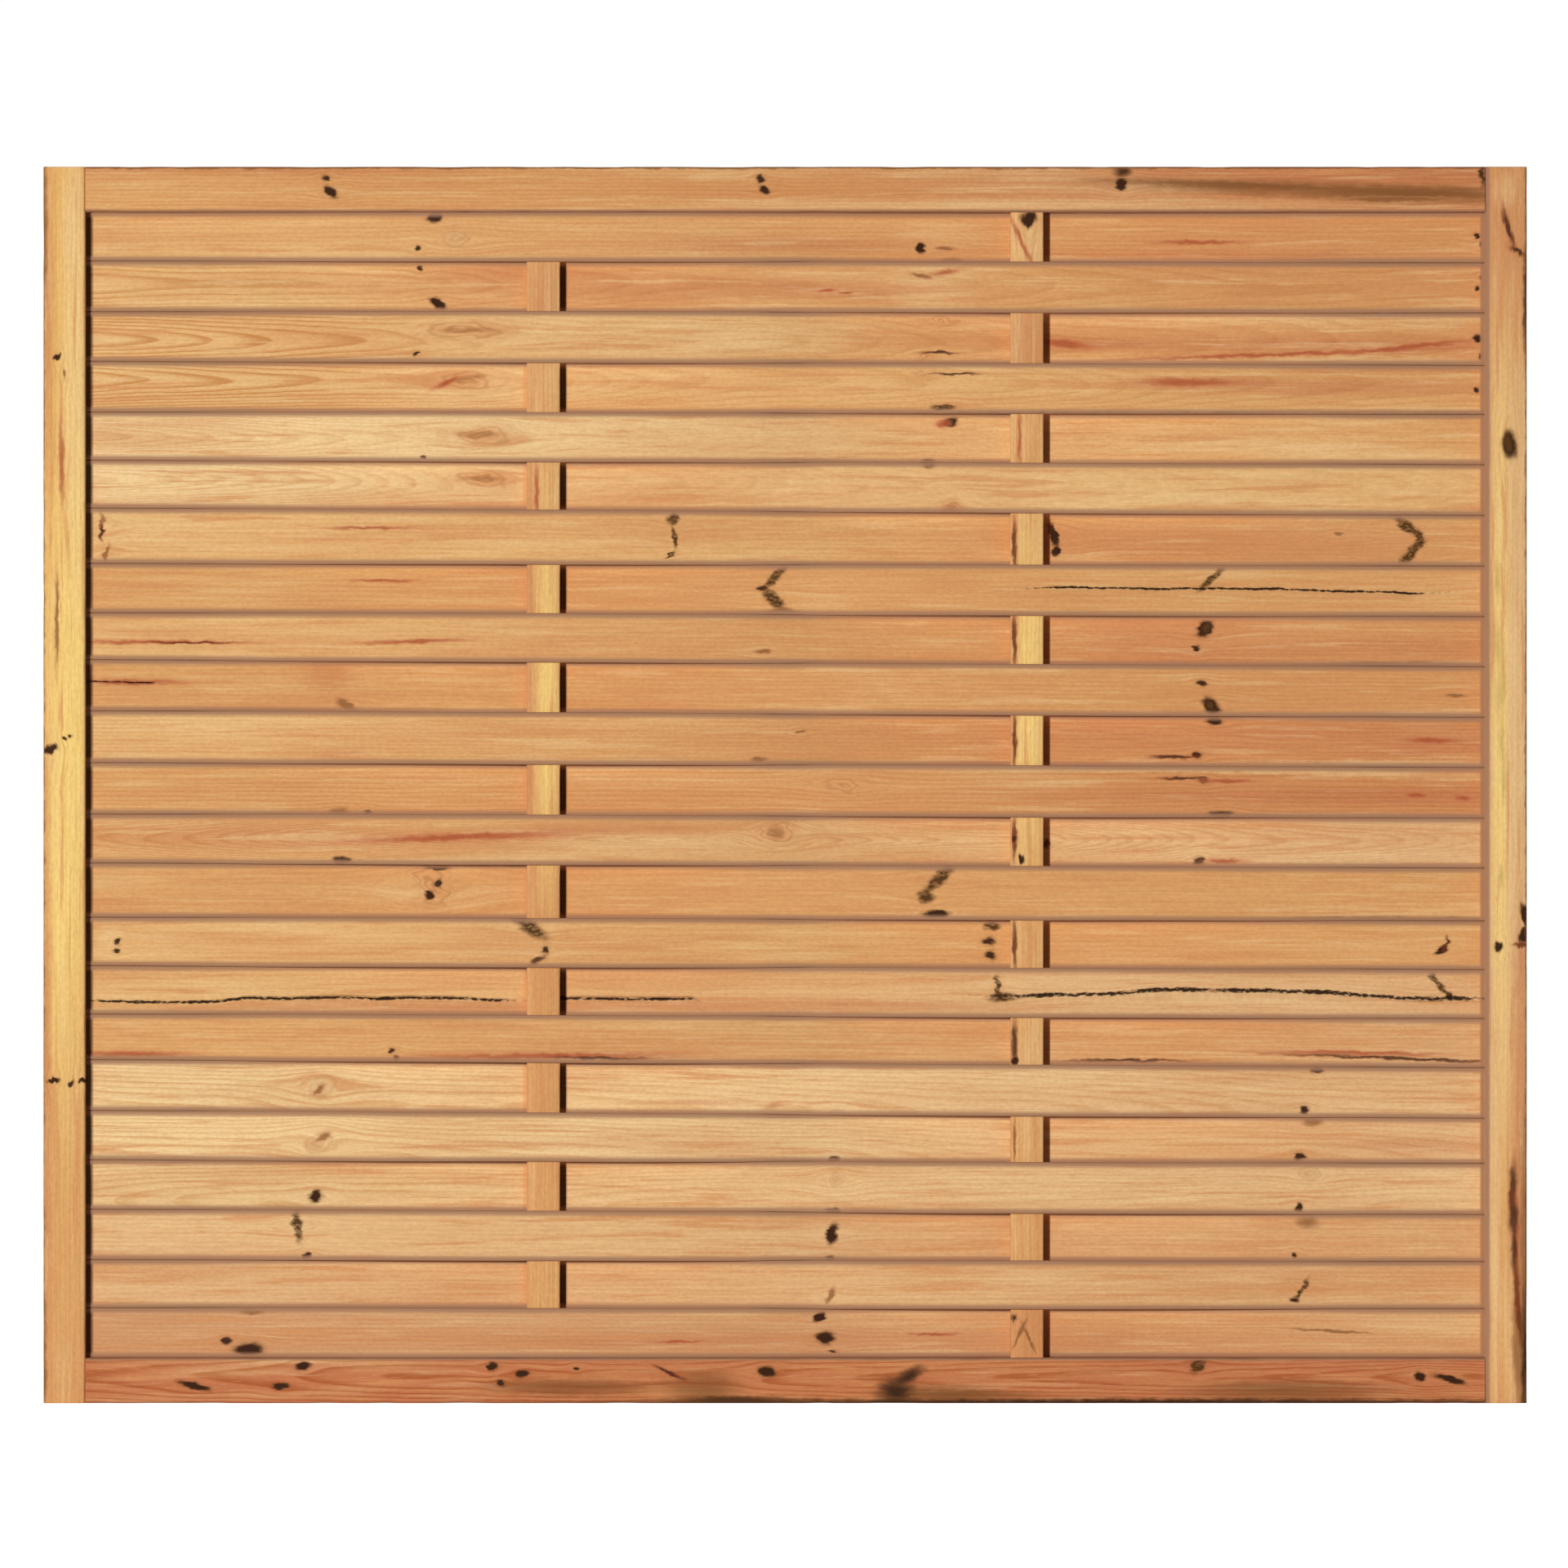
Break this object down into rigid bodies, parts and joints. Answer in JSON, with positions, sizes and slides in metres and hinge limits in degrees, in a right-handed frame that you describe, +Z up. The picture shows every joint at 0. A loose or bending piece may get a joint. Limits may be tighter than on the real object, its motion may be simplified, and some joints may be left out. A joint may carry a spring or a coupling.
{
  "type": "woven timber fence panel",
  "caption": "Rectangular garden fence panel: grooved stiles and rails round thin level slats woven past two upright battens.",
  "frame": {"origin": "on the outer face of the left stile, at mid depth and at the foot of the panel", "axes": "+X along the panel from the left stile to the right one, +Y from the front to the back, +Z up"},
  "size_m": [1.8, 0.045, 1.5],
  "materials": {
    "stile_pine": "planed pine, pale honey, rounded arrises",
    "rail_pine": "planed pine, orange brown with dark stains along the edges",
    "batten_pine": "planed pine, upright grain",
    "slat_pine": "thin sawn pine with knots, streaks and drying cracks"
  },
  "bodies": {
    "root": {"left_stile": "stile_pine", "right_stile": "stile_pine", "top_rail": "rail_pine", "bottom_rail": "rail_pine", "left_batten": "batten_pine", "right_batten": "batten_pine", "slat_01": "slat_pine", "slat_02": "slat_pine", "slat_03": "slat_pine", "slat_04": "slat_pine", "slat_05": "slat_pine", "slat_06": "slat_pine", "slat_07": "slat_pine", "slat_08": "slat_pine", "slat_09": "slat_pine", "slat_10": "slat_pine", "slat_11": "slat_pine", "slat_12": "slat_pine", "slat_13": "slat_pine", "slat_14": "slat_pine", "slat_15": "slat_pine", "slat_16": "slat_pine", "slat_17": "slat_pine", "slat_18": "slat_pine", "slat_19": "slat_pine", "slat_20": "slat_pine", "slat_21": "slat_pine", "slat_22": "slat_pine", "slat_23": "slat_pine"}
  },
  "joints": []
}
